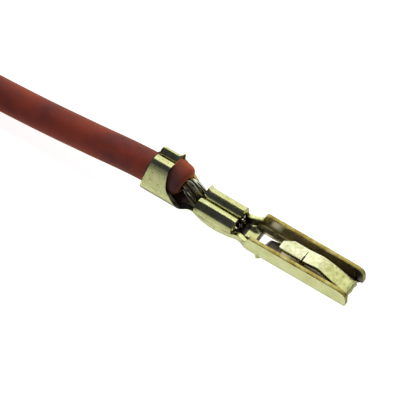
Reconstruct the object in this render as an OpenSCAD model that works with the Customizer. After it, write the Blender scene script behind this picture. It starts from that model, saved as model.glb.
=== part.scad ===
// Pre-crimped wire lead: a stranded red wire crimped into a folded sheet socket terminal.
// The terminal lies along X with its mating end at +X. It rests on the tip of its locking lance and,
// through the wire, on the coil. The origin is under the middle of the terminal, on the resting surface.

/* [Strip] */
// Thickness of the folded sheet
strip_t = 0.22; // [0.18:0.01:0.26]
// Inside radius of the bends between floor and walls
bend_in_r = 0.06; // [0.04:0.01:0.1]

/* [Contact box] */
// Length of the side walls
box_len = 5.7; // [5.4:0.1:6.6]
// Outside width across the side walls
box_w = 1.8; // [1.7:0.05:2.1]
// Height of the side walls from the underside of the strip
box_h = 1.22; // [1.15:0.01:1.4]
// Radius of the side walls' front corners
wall_corner_r = 0.4; // [0.2:0.05:0.5]
// Radius of the stop bump at the foot of each wall
bump_r = 0.24; // [0.15:0.01:0.3]
// How far the stop bump stands proud of its wall
bump_proud = 0.1; // [0.05:0.01:0.12]
// Distance of the stop bumps from the rear of the walls
bump_at = 0.5; // [0.4:0.05:0.8]

/* [Spring tongue] */
// Width of the tongue at its fold
tongue_w = 0.86; // [0.8:0.02:0.95]
// Width of the level tip pad
pad_w = 0.74; // [0.6:0.02:0.8]
// Outside radius of the fold at the front
fold_r = 0.3; // [0.28:0.01:0.36]
// Distance of the fold behind the front of the walls
fold_inset = 0.2; // [0.1:0.05:0.4]
// Length of the floor slots on both sides of the fold
fold_slot_len = 0.75; // [0.7:0.05:1.1]
// Side gap between tongue and floor in those slots
fold_slot_gap = 0.07; // [0.05:0.01:0.1]
// Distance of the crest from the rear of the walls
crest_at = 3.6; // [3.3:0.1:3.9]
// Depth of the crest under the wall tops
crest_drop = 0.03; // [0:0.01:0.2]
// Bend radius of the crest
crest_r = 0.9; // [0.5:0.1:1.2]
// Distance of the coined crease from the rear of the walls
crease_at = 2.8; // [2.5:0.1:3]
// Distance of the tip from the rear of the walls
tip_at = 1.46; // [1.2:0.02:1.8]
// Depth of the level tip pad under the wall tops
tip_drop = 0.13; // [0.08:0.01:0.3]
// Length of the chamfer on the far corner of the tip
tip_chamfer_l = 0.48; // [0.2:0.02:0.6]
// Width of the chamfer on the far corner of the tip
tip_chamfer_w = 0.28; // [0.1:0.02:0.3]

/* [Locking lance] */
// Width of the lance
lance_w = 0.7; // [0.5:0.05:0.8]
// Length of the lance along the sheet
lance_len = 1.3; // [1.2:0.05:1.6]
// Height of the strip's underside above the lance tip
lance_drop = 0.75; // [0.5:0.05:0.9]
// Distance of the lance root from the rear of the walls
lance_root_at = 1.45; // [1.4:0.05:1.8]
// Width of the cut round the lance
lance_cut = 0.05; // [0.03:0.01:0.08]

/* [Neck and waist] */
// Length of the neck between box and conductor crimp
neck_len = 1.05; // [1:0.05:1.4]
// Outside width at the narrowest place of the neck
neck_w = 1.42; // [1.36:0.02:1.5]
// Height of the neck's low walls
neck_h = 0.43; // [0.38:0.01:0.55]
// Outside width at the waist between the two crimps
waist_w = 1; // [0.9:0.02:1.1]
// Height of the low walls at the waist
waist_h = 0.3; // [0.26:0.01:0.31]

/* [Conductor crimp] */
// Length of the conductor crimp
crimp_len = 2.15; // [1.9:0.05:2.5]
// Outside width across the conductor crimp
crimp_w = 1.74; // [1.7:0.02:1.9]
// Height of the conductor crimp from the underside of the strip
crimp_h = 1.15; // [1.13:0.01:1.3]
// How far the crimp's foot draws in on each side at its rear end
foot_taper = 0.18; // [0.1:0.01:0.2]
// Flare of the bell mouth where the strands enter
rear_bell = 0.09; // [0.06:0.01:0.12]
// Flare of the bell mouth at the front
front_bell = 0.04; // [0:0.01:0.08]
// Length of each bell mouth
bell_len = 0.3; // [0.2:0.02:0.4]
// Gap at the seam between the two wing tips
seam_gap = 0.02; // [0.01:0.01:0.05]

/* [Insulation crimp] */
// Distance between the two crimps' wings
wing_gap = 1.85; // [1.8:0.05:2.2]
// Length of the insulation wings at the top
wing_len = 1.15; // [1:0.05:1.4]
// Step down of the insulation crimp's floor under the strip
wing_drop = 0.16; // [0:0.02:0.3]
// Length of the cradle in front of the insulation wings
cradle_len = 1.05; // [1:0.05:1.15]
// Height of the cradle's rim at its front end
cradle_h = 0.4; // [0.35:0.01:0.5]
// Outside radius of the curled wing tips
curl_r = 0.3; // [0.25:0.01:0.32]
// Turn of the seam towards the far side, in degrees
seam_turn = 18; // [0:1:22]
// Length of the carrier stub behind the wings
stub_len = 0.3; // [0.1:0.05:0.4]
// Width of the carrier stub
stub_w = 0.7; // [0.4:0.05:0.9]

/* [Wire] */
// Outside diameter of the wire
wire_d = 1.6; // [1.5:0.02:1.7]
// Diameter of one strand
strand_d = 0.254; // [0.24:0.002:0.266]
// Gap between neighbouring strands in the jacket
strand_gap = 0.018; // [0.014:0.002:0.02]
// Gap between neighbouring strands in the conductor crimp
crimp_gap = 0.026; // [0.02:0.002:0.03]
// Clearance of the strands to what holds them
strand_fit = 0.013; // [0.01:0.001:0.02]
// Clearance between the jacket and the insulation crimp
jacket_fit = 0.02; // [0.01:0.005:0.03]
// Swelling of the squeezed jacket, on the radius
jacket_swell = 0.05; // [0.03:0.01:0.08]
// Length over which the swelling dies away
swell_fade = 0.3; // [0.2:0.05:0.4]
// Length of jacket in front of the insulation wings
jacket_ahead = 0.87; // [0.8:0.01:0.95]
// How far the jacket's cut end is pushed up
jacket_rise = 0.2; // [0.1:0.02:0.24]
// Radius of the bulge that the wings push out of the jacket
bulge_r = 0.42; // [0.36:0.02:0.42]
// Distance of the bulge's centre from the wire's axis
bulge_off = 0.52; // [0.4:0.02:0.54]
// Rounding of the jacket's cut end
jacket_end_r = 0.16; // [0.1:0.02:0.25]
// Length of the strand brush in front of the conductor crimp
brush_len = 0.22; // [0.1:0.02:0.3]

/* [Coil] */
// Centre radius of the outermost turn
coil_r = 10.2; // [9.6:0.1:11]
// Turns of wire in the coil, side by side
coil_turns = 2.45; // [1.5:0.05:3]
// Spare room beside each turn
coil_ease = 0.05; // [0.02:0.01:0.1]
// Width of the tie's band
tie_w = 2; // [1:0.1:3]
// Thickness of the tie's band
tie_t = 0.25; // [0.15:0.05:0.4]
// Height of the rib along the middle of the tie's band
rib_t = 0.08; // [0.05:0.01:0.12]
// Clearance between tie and coil
tie_fit = 0.03; // [0.02:0.01:0.06]
// Length of the tie's twisted ends
tail_len = 3.2; // [2:0.2:4]
// Width of the tie's twisted ends
tail_w = 1.2; // [0.8:0.1:1.4]

/* [Hidden] */
STRANDS = 7;

$fn = 48;
// Small overlap of pieces of the terminal that are one sheet
lap = 0.1;
// How far a blended end lies under the skin of the piece that it runs into
skin = 0.03;
ARC_STEPS = 8;

// Stations along the terminal, from the front to the rear
total_len = box_len + neck_len + crimp_len + wing_gap + wing_len + stub_len;
x_front = total_len / 2;
x_box = x_front - box_len;
x_neck = x_box - neck_len;
x_crimp = x_neck - crimp_len;
x_wings = x_crimp - wing_gap;
x_rear = x_wings - wing_len;
x_tail = x_rear - stub_len;

// The strip's underside, the bends' outside radius and the wire's axis
z_floor = lance_drop;
bend_r = bend_in_r + strip_t;
jacket_r = wire_d / 2 + jacket_swell;
barrel_in_r = jacket_r + jacket_fit;
barrel_r = barrel_in_r + strip_t;
z_wire = barrel_r - wing_drop;
x_jacket = x_wings + jacket_ahead;
x_cradle = x_wings + cradle_len;

// Conductor crimp: three strands in the bottom row, four above them in its grooves
pitch = strand_d + crimp_gap;
row_z = strip_t + strand_fit + strand_d / 2;
row_step = pitch * sqrt(3) / 2;
lay = strand_d + strand_gap;
bore_r = lay + strand_d / 2 + strand_fit;

// The wire's route from the crimp to the coil, on the resting surface from x = -16 on
ROUTE = [
    [-6.1, 0, 1.68], [-6.6, 0, 1.63], [-7.2, 0, 1.55], [-8, -0.01, 1.43], [-9, -0.03, 1.28],
    [-10, -0.05, 1.15], [-11, -0.08, 1.04], [-12, -0.11, 0.95], [-13, -0.14, 0.88], [-14, -0.17, 0.83],
    [-15, -0.21, 0.81], [-16, -0.25, 0.8], [-17, -0.28, 0.8], [-18, -0.31, 0.8], [-19, -0.32, 0.8],
    [-20, -0.32, 0.8]
];
ROUTE_SIDES = 8;
ROUTE_END = ROUTE[len(ROUTE) - 1];
// The same route where the crimp's tail and the lying wire are for the sizes above
tail_shift = x_tail - ROUTE[0][0];
crimp_lift = z_floor + z_wire - ROUTE[0][2];
coil_lift = wire_d / 2 - ROUTE_END[2];
route = [for (p = ROUTE)
    let (u = (ROUTE[0][0] - p[0]) / (ROUTE[0][0] - ROUTE_END[0]))
    p + [tail_shift, 0, crimp_lift * (1 - u) + coil_lift * u]];
route_end = route[len(route) - 1];
// Length of wire between the route's end and the first turn
COIL_LEAD = 1.5;
coil_centre = [route_end[0] - COIL_LEAD, route_end[1] - coil_r];
COIL_TIE_ANGLE = 215;
TIE_TWIST = 540;
coil_out_r = coil_r + wire_d / 2;
coil_pitch = wire_d + coil_ease;
coil_in_r = coil_r - coil_turns * coil_pitch - wire_d / 2;
// The turns side by side under the tie, lifted by its band
COIL_START = 90;
turns_before_tie = (COIL_TIE_ANGLE - COIL_START) / 360;
tie_turn_r = coil_r - turns_before_tie * coil_pitch;
bundle_w = floor(coil_turns - turns_before_tie) * coil_pitch + wire_d;
bundle_at = [tie_turn_r + wire_d / 2 - bundle_w, tie_t + tie_fit];

function unit(v) = v / norm(v);
function reversed(list) = [for (i = [len(list) - 1:-1:0]) list[i]];
function arc(centre, r, a0, a1, steps = ARC_STEPS) =
    [for (i = [0:steps]) let (a = a0 + (a1 - a0) * i / steps) centre + r * [cos(a), sin(a)]];
function ease(u) = let (v = min(max(u, 0), 1)) v * v * (3 - 2 * v);
function blend(a, b, u) = a + (b - a) * ease(u);
function turn(from, to) = (to - from + 900) % 360 - 180;

// Arc of radius r that rounds the corner at b of the line a, b, c
function corner(a, b, c, r, steps = ARC_STEPS) =
    let (
        u = unit(a - b),
        v = unit(c - b),
        half = acos(u * v) / 2,
        centre = b + unit(u + v) * r / sin(half),
        s = b + u * r / tan(half) - centre,
        e = b + v * r / tan(half) - centre,
        a0 = atan2(s[1], s[0])
    )
    arc(centre, r, a0, a0 + turn(a0, atan2(e[1], e[0])), steps);

// Closed outline of a strip of the given thickness along a line
function left_of(p, q) = let (d = unit(q - p)) [-d[1], d[0]];
function mitre(line, i) =
    let (
        before = left_of(line[max(i - 1, 0)], line[max(i, 1)]),
        after = left_of(line[min(i, len(line) - 2)], line[min(i + 1, len(line) - 1)])
    )
    (before + after) / (1 + before * after);
function ribbon(line, t) = concat(
    [for (i = [0:len(line) - 1]) line[i] + mitre(line, i) * t / 2],
    reversed([for (i = [0:len(line) - 1]) line[i] - mitre(line, i) * t / 2])
);

// A folded section is a list of [outside point, inside point] pairs from the near rim to the far rim
function mirrored(half) = concat(
    reversed([for (p = half) [for (q = p) [-q[0], q[1]]]]),
    half
);
function pair(centre, r, a, inset = 0) =
    let (u = [cos(a), sin(a)])
    [centre + (r - inset) * u, centre + (r - strip_t + inset) * u];
function arc_pairs(centre, r, a0, a1, inset = 0, steps = ARC_STEPS) =
    [for (i = [0:steps]) pair(centre, r, a0 + (a1 - a0) * i / steps, inset)];

// Open trough with a floor of half width f at height z, bends of radius r and walls of height h
function trough(f, r, h, inset, z = 0) =
    let (
        sweep = h < r ? acos(1 - h / r) : 90,
        bend = arc_pairs([f, r + z], r, -90, sweep - 90, inset),
        up = [cos(sweep), sin(sweep)] * max(h - r, skin),
        rim = bend[ARC_STEPS]
    )
    mirrored(concat(bend, [[rim[0] + up, rim[1] + up]]));

// Two-lobed section of the conductor crimp at share u of its length: foot, flank, shoulder, sloping crown
// and a ridge that rolls down to the seam. The lobes open out and up in the bell mouths.
BELL_WAY = [0.7, 0.5];
BELLY = 0.56;
CROWN = [62, 76];
CROWN_R = 1.2;
RIDGE_END = 160;
function at_angle(r, a) = r * [cos(a), sin(a)];
function foot_half(u) = crimp_w / 2 - foot_taper * pow((u - BELLY) / BELLY, 2) - bend_r;
function bell(size, from_end) = size * pow(max(1 - from_end * crimp_len / bell_len, 0), 2);
function crimp_section(u) =
    let (
        open = (bell(rear_bell, u) + bell(front_bell, 1 - u)) * BELL_WAY,
        foot = [foot_half(u), bend_r],
        crown_from_shoulder = at_angle(bend_r - CROWN_R, CROWN[0]),
        crown_end = crown_from_shoulder + at_angle(CROWN_R, CROWN[1]),
        flank = crimp_w / 2 - bend_r,
        ridge_r = (flank + crown_end[0] - seam_gap / 2) / (cos(CROWN[1]) - cos(RIDGE_END)),
        ridge_from_shoulder = crown_end - at_angle(ridge_r, CROWN[1]),
        shoulder = [flank, crimp_h - ridge_r - ridge_from_shoulder[1]] + open,
        lean = atan2(shoulder[1] - foot[1], shoulder[0] - foot[0]) - 90
    )
    mirrored(concat(
        arc_pairs(foot, bend_r, -90, lean),
        arc_pairs(shoulder, bend_r, lean, CROWN[0] - 1),
        arc_pairs(shoulder + crown_from_shoulder, CROWN_R, CROWN[0], CROWN[1] - 1, 0, 3),
        arc_pairs(shoulder + ridge_from_shoulder, ridge_r, CROWN[1], RIDGE_END, 0)
    ));

// Section of the insulation crimp: round, with both wing tips curled in at the seam
curl_spread = asin((curl_r + seam_gap / 2) / (barrel_r - curl_r));
curl_at = (barrel_r - curl_r) * [sin(curl_spread), cos(curl_spread)];
CURL_END = 165;
function barrel_section() = mirrored(concat(
    arc_pairs([0, 0], barrel_r, -89, 90 - curl_spread, 0, 3 * ARC_STEPS),
    arc_pairs(curl_at, curl_r, 90 - curl_spread + 1, CURL_END, 0)
));
function outline_of(section) = concat([for (p = section) p[0]], reversed([for (p = section) p[1]]));

// Closed solid through folded sections, each at its own x
module strip_loft(xs, sections) {
    n = len(sections[0]);
    last = len(xs) - 1;
    points = [for (i = [0:last]) for (side = [0, 1]) for (p = sections[i])
        [xs[i], p[side][0], p[side][1]]];
    function at(i, side, j) = (2 * i + side) * n + j;
    faces = concat(
        [for (i = [0:last - 1]) for (j = [0:n - 2])
            [at(i, 0, j), at(i + 1, 0, j), at(i + 1, 0, j + 1), at(i, 0, j + 1)]],
        [for (i = [0:last - 1]) for (j = [0:n - 2])
            [at(i, 1, j), at(i, 1, j + 1), at(i + 1, 1, j + 1), at(i + 1, 1, j)]],
        [for (i = [0:last - 1]) [at(i, 0, 0), at(i, 1, 0), at(i + 1, 1, 0), at(i + 1, 0, 0)]],
        [for (i = [0:last - 1])
            [at(i, 0, n - 1), at(i + 1, 0, n - 1), at(i + 1, 1, n - 1), at(i, 1, n - 1)]],
        [for (j = [0:n - 2]) [at(0, 0, j), at(0, 0, j + 1), at(0, 1, j + 1), at(0, 1, j)]],
        [for (j = [0:n - 2])
            [at(last, 0, j), at(last, 1, j), at(last, 1, j + 1), at(last, 0, j + 1)]]
    );
    polyhedron(points, faces, convexity = 10);
}

// Round bar swept along a line of points, with one radius or one for each point and end faces square to X
module sweep(line, radius, sides) {
    last = len(line) - 1;
    function heading(i) = i == 0 || i == last
        ? [sign(line[last][0] - line[0][0]), 0, 0]
        : unit(line[i + 1] - line[i - 1]);
    function ring(i) =
        let (
            r = is_list(radius) ? radius[i] : radius,
            d = heading(i),
            across = unit(cross([0, 0, 1], d)),
            over = cross(d, across)
        )
        [for (k = [0:sides - 1]) let (a = (k + 0.5) * 360 / sides)
            line[i] + r * (cos(a) * across + sin(a) * over)];
    points = [for (i = [0:last]) for (p = ring(i)) p];
    function at(i, k) = i * sides + k % sides;
    faces = concat(
        [[for (k = [0:sides - 1]) at(0, k)]],
        [for (i = [0:last - 1]) for (k = [0:sides - 1])
            [at(i, k), at(i + 1, k), at(i + 1, k + 1), at(i, k + 1)]],
        [[for (k = [sides - 1:-1:0]) at(last, k)]]
    );
    polyhedron(points, faces, convexity = 4);
}

// Lays a section drawn in Y and Z along X, and a side view drawn in X and Z along Y
module along_x(x0, x1) {
    translate([x0, 0, 0]) rotate([90, 0, 90]) linear_extrude(x1 - x0) children();
}
module across_y(w) {
    translate([0, w / 2, 0]) rotate([90, 0, 0]) linear_extrude(w) children();
}

// Rectangle with two or four round corners, from the given low corner
module rounded_box(low, size, r) {
    translate(low + [r, 0]) square([size[0] - 2 * r, size[1]]);
    translate(low + [0, r]) square([size[0], size[1] - 2 * r]);
    for (x = [r, size[0] - r]) for (y = [r, size[1] - r]) translate(low + [x, y]) circle(r);
}
module rounded_foot(w, h, r) {
    translate([-w / 2, r]) square([w, h - r]);
    translate([r - w / 2, 0]) square([w - 2 * r, h]);
    for (s = [-1, 1]) translate([s * (w / 2 - r), r]) circle(r);
}

// Contact box: a channel with round front corners and a floor slotted round the tongue's root
module box_walls() {
    r = wall_corner_r;
    outline = concat(
        [[x_box, box_h], [x_box, 0]],
        arc([x_front - r, r], r, -90, 0),
        arc([x_front - r, box_h - r], r, 0, 90)
    );
    difference() {
        intersection() {
            along_x(x_box, x_front) difference() {
                rounded_foot(box_w, box_h, bend_r);
                translate([0, strip_t]) rounded_foot(box_w - 2 * strip_t, box_h, bend_in_r);
            }
            across_y(2 * box_w) polygon(outline);
        }
        slot_w = tongue_w + 2 * fold_slot_gap;
        translate([x_front - fold_slot_len, -slot_w / 2, -lap])
            cube([fold_slot_len + lap, slot_w, strip_t + 2 * lap]);
    }
    for (s = [-1, 1])
        translate([x_box + bump_at, s * (box_w / 2 + bump_proud - bump_r), bend_r / 2]) sphere(bump_r);
}

// Spring tongue: floor, fold, rise to the crest, crease and level tip pad
module tongue() {
    mean_r = fold_r - strip_t / 2;
    centre = [x_front - fold_inset - fold_r, fold_r];
    crest = [x_box + crest_at, box_h - crest_drop - strip_t / 2];
    crease = [x_box + crease_at, box_h - tip_drop - strip_t / 2];
    tip = [x_box + tip_at, crease[1]];
    d = crest - centre;
    leave = atan2(d[1], d[0]) - acos(mean_r / norm(d));
    fold = arc(centre, mean_r, -90, leave, 2 * ARC_STEPS);
    line = concat(
        [[x_front - fold_slot_len - lap, strip_t / 2]],
        fold,
        corner(fold[2 * ARC_STEPS], crest, crease, crest_r),
        [crease, tip]
    );
    w = tongue_w / 2;
    p = pad_w / 2;
    plan = [
        [x_front, -w], [x_front, w], [centre[0], w], [crest[0], p], [tip[0] + tip_chamfer_l, p],
        [tip[0], p - tip_chamfer_w], [tip[0], strip_t / 4 - p], [tip[0] + strip_t / 4, -p],
        [crest[0], -p], [centre[0], -w]
    ];
    intersection() {
        across_y(2 * tongue_w) polygon(ribbon(line, strip_t));
        translate([0, 0, -lap]) linear_extrude(box_h + 2 * lap) polygon(plan);
    }
}

// Locking lance: cut from the floor and bent down, its tip edge at the resting surface
module lance() {
    half_t = strip_t / 2;
    reach = norm([lance_len, half_t]);
    slope = asin((lance_drop + half_t) / reach) - atan2(half_t, lance_len);
    root = [x_box + lance_root_at, half_t];
    tip = root - lance_len * [cos(slope), sin(slope)];
    line = concat([root + [strip_t, 0]], corner(root + [strip_t, 0], root, tip, strip_t, 4), [tip]);
    across_y(lance_w) polygon(ribbon(line, strip_t));
}
module lance_window() {
    w = lance_w + 2 * lance_cut;
    l = lance_len + lance_cut;
    translate([x_box + lance_root_at - l, -w / 2, -lap]) cube([l, w, strip_t + 2 * lap]);
}

// Neck: narrows from the conductor crimp, then flares and rises into the box
// Shares of its length: stations, end of the narrowing, start of the flare, start of the rise
NECK_STATIONS = [-0.15, 0.1, 0.3, 0.5, 0.65, 0.8, 0.88, 0.94, 1, 1.15];
NECK_NARROW = 0.3;
NECK_FLARE = 0.45;
NECK_RISE = 0.8;
module neck() {
    f_neck = neck_w / 2 - bend_r;
    f_box = box_w / 2 - bend_r;
    function floor_half(u) = u < NECK_FLARE
        ? blend(foot_half(1), f_neck, u / NECK_NARROW)
        : blend(f_neck, f_box, (u - NECK_FLARE) / (1 - NECK_FLARE));
    function height(u) = blend(neck_h, box_h - skin, (u - NECK_RISE) / (1 - NECK_RISE));
    function inset(u) = u < 0 || u >= 1 ? skin : 0;
    strip_loft(
        [for (u = NECK_STATIONS) x_neck + u * neck_len],
        [for (u = NECK_STATIONS)
            trough(floor_half(u), bend_r, height(u), inset(u))]
    );
}

// Waist: from the round cradle of the insulation crimp to a narrow floor, then out to the conductor crimp
// Shares of its length: stations and the narrowest place
WAIST_STATIONS = [-0.45, -0.1, 0.13, 0.26, 0.4, 0.6, 0.78, 0.95];
WAIST_NARROW = 0.4;
module waist() {
    f_waist = waist_w / 2 - bend_r;
    run = x_crimp - x_cradle;
    stations = concat(WAIST_STATIONS, [1 + bell_len / run]);
    function along(u, cradle, waist, crimp) =
        blend(blend(cradle, waist, u / WAIST_NARROW), crimp, (u - WAIST_NARROW) / (1 - WAIST_NARROW));
    function inset(u) = u < 0 || u > 1 ? skin : 0;
    strip_loft(
        [for (u = stations) x_cradle + u * run],
        [for (u = stations)
            trough(
                along(u, skin, f_waist, foot_half(0)),
                blend(barrel_r, bend_r, u / WAIST_NARROW),
                blend(cradle_h, waist_h, u / WAIST_NARROW),
                inset(u),
                blend(-wing_drop, 0, u)
            )]
    );
}

// Conductor crimp: both wings rolled down on the strands, with a bell mouth at each end
CRIMP_STATIONS = [0, 0.06, 0.14, 0.28, 0.42, 0.56, 0.7, 0.86, 0.94, 1];
module conductor_crimp() {
    strip_loft(
        [for (u = CRIMP_STATIONS) x_crimp + u * crimp_len],
        [for (u = CRIMP_STATIONS) crimp_section(u)]
    );
}

// Insulation crimp: curled wings, cut away in front along a slanted edge
// Shares of the cradle's length and the barrel's height at that edge's knee, and of the height at its top
WING_KNEE = [0.5, 0.6];
WING_SHOULDER = 0.71;
module insulation_crimp() {
    barrel_h = 2 * barrel_r;
    side = [
        [x_rear, -lap], [x_cradle, -lap], [x_cradle, cradle_h],
        [x_wings + WING_KNEE[0] * cradle_len, WING_KNEE[1] * barrel_h],
        [x_wings + lap, WING_SHOULDER * barrel_h], [x_wings, barrel_h + lap], [x_rear, barrel_h + lap]
    ];
    translate([0, 0, -wing_drop]) {
        intersection() {
            along_x(x_rear, x_cradle) translate([0, barrel_r]) rotate(-seam_turn)
                polygon(outline_of(barrel_section()));
            across_y(3 * barrel_r) polygon(side);
        }
        translate([x_tail, -stub_w / 2, skin]) cube([stub_len + lap, stub_w, strip_t - skin]);
    }
}

module crimp_terminal() {
    color([0.80, 0.80, 0.60]) translate([0, 0, z_floor]) {
        difference() {
            box_walls();
            lance_window();
        }
        tongue();
        lance();
        neck();
        conductor_crimp();
        waist();
        insulation_crimp();
    }
}

// Insulation held in the crimp: round behind it, squeezed between the wings, pushed up and out in front
JACKET_SIDES = 32;
JACKET_STATIONS = [0, 0.17, 0.34, 0.5, 0.66, 0.82, 1];
// Where the bulge stands out, as an angle from the top towards the far side
BULGE_TURN = 20;
function rise(x) = jacket_rise * ease((x - x_wings) / jacket_ahead);
module jacket_end() {
    r = wire_d / 2;
    x_round = x_jacket - jacket_end_r;
    run = x_round - x_wings;
    xs = concat([x_wings - lap], [for (u = JACKET_STATIONS) x_wings + skin + u * (run - skin)], [x_jacket]);
    radii = [for (x = xs)
        x > x_round + skin ? r - jacket_end_r : blend(jacket_r - skin, r, (x - x_wings) / swell_fade)];
    line = [for (x = xs) [x, 0, rise(x)]];
    bulge = bulge_off * [sin(BULGE_TURN), cos(BULGE_TURN)];
    color([0.55, 0.13, 0.10]) translate([0, 0, z_floor + z_wire]) difference() {
        union() {
            sweep(line, radii, JACKET_SIDES);
            translate([x_wings + bulge_r + skin / 2, bulge[0], bulge[1]]) sphere(bulge_r);
            along_x(x_rear - lap, x_wings) circle(jacket_r);
            along_x(x_tail, x_rear) circle(r);
        }
        along_x(x_rear - lap, x_wings + lap) rotate(-seam_turn)
            for (s = [-1, 1]) translate([s * curl_at[0], curl_at[1]]) circle(curl_r + jacket_fit);
        sweep(
            concat([[x_tail - lap, 0, 0]], line, [[x_jacket + lap, 0, rise(x_jacket)]]),
            bore_r,
            JACKET_SIDES
        );
    }
}

// Strand i: in the round lay of the wire, then down into its row in the conductor crimp
// LAY and ROWS are places in strand pitches, BRUSH is the share of brush_len that each strand stands out
LAY = [[-0.5, -1], [0.5, -1], [-1, 0], [1, 0], [-0.5, 1], [0.5, 1], [0, 0]];
ROWS = [[-1, 0], [1, 0], [-1.5, 1], [1.5, 1], [-0.5, 1], [0.5, 1], [0, 0]];
BRUSH = [0.8, 1, 0.3, 0.35, 0.9, 0.7, 1];
// How far the strands part where they bend down
SPREAD = 0.4;
STRAND_STEPS = 10;
STRAND_SIDES = 8;
function lay_place(i) = [LAY[i][0] * lay, LAY[i][1] * lay * sqrt(3) / 2];
function row_place(i) = [ROWS[i][0] * pitch, ROWS[i][1] * row_step];
function strand_line(i) =
    let (
        run = x_crimp + bell_len / 2 - x_jacket,
        bend = [for (k = [0:STRAND_STEPS])
            let (
                u = k / STRAND_STEPS,
                spread = 1 + SPREAD * sin(180 * u) * (1 - ease(u)),
                p = blend(lay_place(i), row_place(i), u) * spread
            )
            [x_jacket + run * u, p[0], blend(z_wire + jacket_rise, row_z, u) + p[1]]],
        first = lay_place(i),
        held = [for (u = JACKET_STATIONS)
            let (x = x_wings + u * jacket_ahead * (1 - 1 / STRAND_STEPS))
            [x, first[0], z_wire + rise(x) + first[1]]],
        end = bend[STRAND_STEPS]
    )
    concat(
        [[x_tail, first[0], z_wire + first[1]]],
        held,
        bend,
        [[x_neck + brush_len * BRUSH[i], end[1], end[2]]]
    );
module strand(i) {
    color([0.78, 0.76, 0.72]) translate([0, 0, z_floor])
        sweep(strand_line(i - 1), strand_d / 2, STRAND_SIDES);
}

module lead_wire() {
    color([0.55, 0.13, 0.10]) sweep(route, wire_d / 2, ROUTE_SIDES);
}

// Coil: the outer shape of the flat turns, cut away beside the incoming wire, drawn together under the tie
module wire_coil() {
    r = wire_d / 2;
    ring_w = coil_out_r - coil_in_r;
    neck_w = tie_w + 2 * tie_fit;
    color([0.55, 0.13, 0.10]) {
        difference() {
            translate(coil_centre) rotate_extrude($fn = 96) {
                translate([coil_in_r + r, 0]) square([ring_w - wire_d, wire_d]);
                for (x = [coil_in_r + r, coil_out_r - r]) translate([x, r]) circle(r);
            }
            translate([route_end[0], route_end[1] - r - tie_fit, -lap])
                cube([coil_r, wire_d + coil_r, wire_d + tie_fit + lap]);
            translate(coil_centre) rotate(COIL_TIE_ANGLE)
                translate([coil_in_r - wire_d, -neck_w / 2, -lap])
                    cube([ring_w + 2 * wire_d, neck_w, wire_d + 2 * lap]);
        }
        translate(coil_centre) rotate(COIL_TIE_ANGLE) across_y(neck_w + wire_d)
            rounded_box(bundle_at, [bundle_w, wire_d], r - skin);
    }
}

// Tie: a flat band with a rib round the turns, its two ends twisted together inside the coil
module coil_tie() {
    room = [bundle_w + 2 * tie_fit, wire_d + 2 * tie_fit];
    low = bundle_at - [tie_fit, tie_fit];
    module ring(t) {
        rounded_box(low - [t, t], room + 2 * [t, t], wire_d / 2 + t - skin);
    }
    module band(w, t) {
        across_y(w) difference() {
            ring(t);
            ring(0);
        }
    }
    color([0.12, 0.12, 0.13]) translate(coil_centre) rotate(COIL_TIE_ANGLE) {
        band(tie_w, tie_t);
        intersection() {
            band(tie_w / 4, tie_t + rib_t);
            translate([0, -tie_w, 0]) cube([coil_out_r + tie_w, 2 * tie_w, room[1] + 2 * tie_w]);
        }
        translate([low[0] - tie_t / 2, 0, low[1] + room[1] / 2]) rotate([0, -90, 0])
            linear_extrude(tail_len, twist = TIE_TWIST, slices = 24, $fn = 12)
                square([2 * tie_t, tail_w], center = true);
    }
}

crimp_terminal();
jacket_end();
for (i = [1:STRANDS]) strand(i);
lead_wire();
wire_coil();
coil_tie();
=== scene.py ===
import math

import bmesh
import bpy
import numpy as np
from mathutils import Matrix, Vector


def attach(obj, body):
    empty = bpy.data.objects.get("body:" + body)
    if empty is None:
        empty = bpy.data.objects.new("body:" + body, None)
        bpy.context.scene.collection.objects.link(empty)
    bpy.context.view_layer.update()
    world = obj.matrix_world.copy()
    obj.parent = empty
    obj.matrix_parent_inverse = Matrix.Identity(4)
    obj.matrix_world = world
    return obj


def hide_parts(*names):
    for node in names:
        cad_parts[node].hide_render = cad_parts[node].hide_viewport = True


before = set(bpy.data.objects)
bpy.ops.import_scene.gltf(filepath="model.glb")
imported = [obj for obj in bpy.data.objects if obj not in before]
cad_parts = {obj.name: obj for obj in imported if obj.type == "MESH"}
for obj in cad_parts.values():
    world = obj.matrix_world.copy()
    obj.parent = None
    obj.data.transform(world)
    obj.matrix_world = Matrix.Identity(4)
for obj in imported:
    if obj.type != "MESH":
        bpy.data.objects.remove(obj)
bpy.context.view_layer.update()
scene = bpy.context.scene

# Sizes are in mm, as in the part's source, and become metres where Blender takes them
MM = 0.001
TINY = 1e-6
UP = Vector((0, 0, 1))

# Places along the terminal, from its mating end back to the stub of the carrier strip
X_FRONT, X_BOX, X_NECK, X_CRIMP = 6.1, 0.4, -0.65, -2.8
X_CRADLE, X_JACKET, X_WINGS, X_REAR, X_TAIL = -3.62, -3.88, -4.65, -5.9, -6.1
# Heights on the terminal count from the underside of its floor, which lies this far above the surface
Z_FLOOR = 0.75
SHEET_T = 0.22
BOX_H, RIM_H, CORNER_R = 1.22, 0.66, 0.4
BARREL_R, BARREL_RIM, WING_DROP = 1.09, 0.4, 0.16
Z_WIRE = BARREL_R - WING_DROP
WIRE_R, STRAND_R = 0.8, 0.127
SHARP_ANGLE = 35


def ease(value, start=0.0, run=1.0):
    """Smooth step from 0 to 1 as the value goes from start to start + run."""
    u = min(max((value - start) / run, 0.0), 1.0)
    return u * u * (3 - 2 * u)


def smooth(x, points, half=0.12, samples=9):
    """Line through points (x, size), averaged over a short stretch so that its corners are round."""
    xs, ys = zip(*points)
    return float(np.mean([np.interp(x + d, xs, ys) for d in np.linspace(-half, half, samples)]))


def places(start, *stretches):
    """Stations from start on, in stretches of (end, steps)."""
    stations = [start]
    for end, steps in stretches:
        stations.extend(np.linspace(stations[-1], end, steps + 1)[1:])
    return stations


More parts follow.
